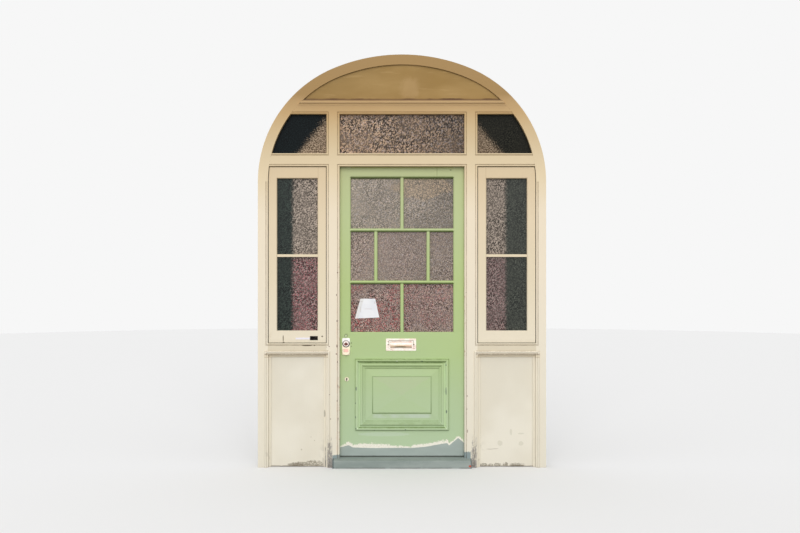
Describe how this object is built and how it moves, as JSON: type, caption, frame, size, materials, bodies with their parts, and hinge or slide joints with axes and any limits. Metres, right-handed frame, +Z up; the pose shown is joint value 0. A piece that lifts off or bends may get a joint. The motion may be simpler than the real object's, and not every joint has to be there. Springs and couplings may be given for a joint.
{
  "type": "panelled front door in an arched timber screen",
  "caption": "Glazed and panelled front door in an arched timber screen with sidelights and fanlights, letter plate, night latch and deadlock.",
  "frame": {"origin": "middle of the door at floor level, in the plane of the frame's outer face", "axes": "+X to the right seen from outside, +Y inwards, +Z up"},
  "size_m": [1.874, 0.1803, 2.685],
  "materials": {
    "frame_paint": "cream gloss paint on softwood, chipped at the edges",
    "board_paint": "off-white paint, flaking along the foot",
    "head_paint": "yellowed cream paint",
    "door_paint": "pale green gloss paint with a grey-blue foot",
    "sill_paint": "grey-blue paint, worn",
    "obscured_glass": "rolled obscured glass",
    "steel": "dull",
    "case_enamel": "brown enamel",
    "brass": "worn polish",
    "plated_metal": "worn plating",
    "paper": "plain white"
  },
  "bodies": {
    "frame": {"left_jamb": "frame_paint", "right_jamb": "frame_paint", "arched_head": "head_paint", "left_post": "frame_paint", "right_post": "frame_paint", "left_mullion": "frame_paint", "right_mullion": "frame_paint", "transom": "frame_paint", "head_rail": "head_paint", "tympanum_board": "head_paint", "threshold": "sill_paint", "left_mid_rail": "frame_paint", "right_mid_rail": "frame_paint", "left_panel_board": "board_paint", "right_panel_board": "board_paint", "left_panel_moulding": "frame_paint", "right_panel_moulding": "frame_paint", "left_sash": "frame_paint", "right_sash": "frame_paint", "left_sash_glass": "obscured_glass", "right_sash_glass": "obscured_glass", "left_fanlight_glass": "obscured_glass", "centre_fanlight_glass": "obscured_glass", "right_fanlight_glass": "obscured_glass", "frame_glazing_beads": "frame_paint", "latch_staple": "case_enamel", "dead_bolt_striker": "steel", "hinge_frame_leaves": "steel", "hinge_pins": "steel"},
    "door": {"hinge_stile": "door_paint", "lock_stile": "door_paint", "top_rail": "door_paint", "lock_rail": "door_paint", "bottom_rail": "door_paint", "upper_glazing_bar": "door_paint", "lower_glazing_bar": "door_paint", "upright_glazing_bars": "door_paint", "top_panes": "obscured_glass", "middle_left_pane": "obscured_glass", "middle_centre_pane": "obscured_glass", "middle_right_pane": "obscured_glass", "bottom_panes": "obscured_glass", "door_glazing_beads": "door_paint", "door_panel": "door_paint", "panel_moulding": "door_paint", "hinge_door_leaves": "steel", "letter_plate": "brass", "cylinder_pull": "plated_metal", "lock_cylinder": "plated_metal", "night_latch_case": "case_enamel", "dead_lock_case": "steel", "keyhole_escutcheons": "brass", "paper_note": "paper"},
    "flap": {"letter_flap": "brass"},
    "plug": {"cylinder_plug": "brass"},
    "latch": {"latch_bolt": "steel"},
    "knob": {"latch_knob": "brass"},
    "snib_button": {"snib": "case_enamel"},
    "deadlock": {"dead_bolt": "steel"}
  },
  "joints": [
    {"name": "door_swing", "type": "hinge", "parent": "frame", "child": "door", "pos_m": [0.4175, 0.102, 1.01], "axis": [0, 0, -1], "range_deg": [0, 95]},
    {"name": "flap_swing", "type": "hinge", "parent": "door", "child": "flap", "pos_m": [-0.006, 0.0536, 0.818], "axis": [1, 0, 0], "range_deg": [0, 75], "stiffness_Nm_per_rad": 0.05, "springref_deg": -20.05},
    {"name": "key_turn", "type": "hinge", "parent": "door", "child": "plug", "pos_m": [-0.366, 0.06, 0.801], "axis": [0, -1, 0], "range_deg": [-90, 90]},
    {"name": "latch_slide", "type": "slide", "parent": "door", "child": "latch", "axis": [-1, 0, 0], "range_m": [0, 0.014]},
    {"name": "knob_turn", "type": "hinge", "parent": "door", "child": "knob", "pos_m": [-0.366, 0.13, 0.801], "axis": [0, 1, 0], "range_deg": [0, 61]},
    {"name": "snib_slide", "type": "slide", "parent": "door", "child": "snib_button", "axis": [-1, 0, 0], "range_m": [0, 0.008]},
    {"name": "deadlock_slide", "type": "slide", "parent": "door", "child": "deadlock", "axis": [-1, 0, 0], "range_m": [0, 0.018]}
  ],
  "couplings": [
    {"joint": "knob_turn", "follows": "latch_slide", "rad_per_m": 74.8}
  ]
}
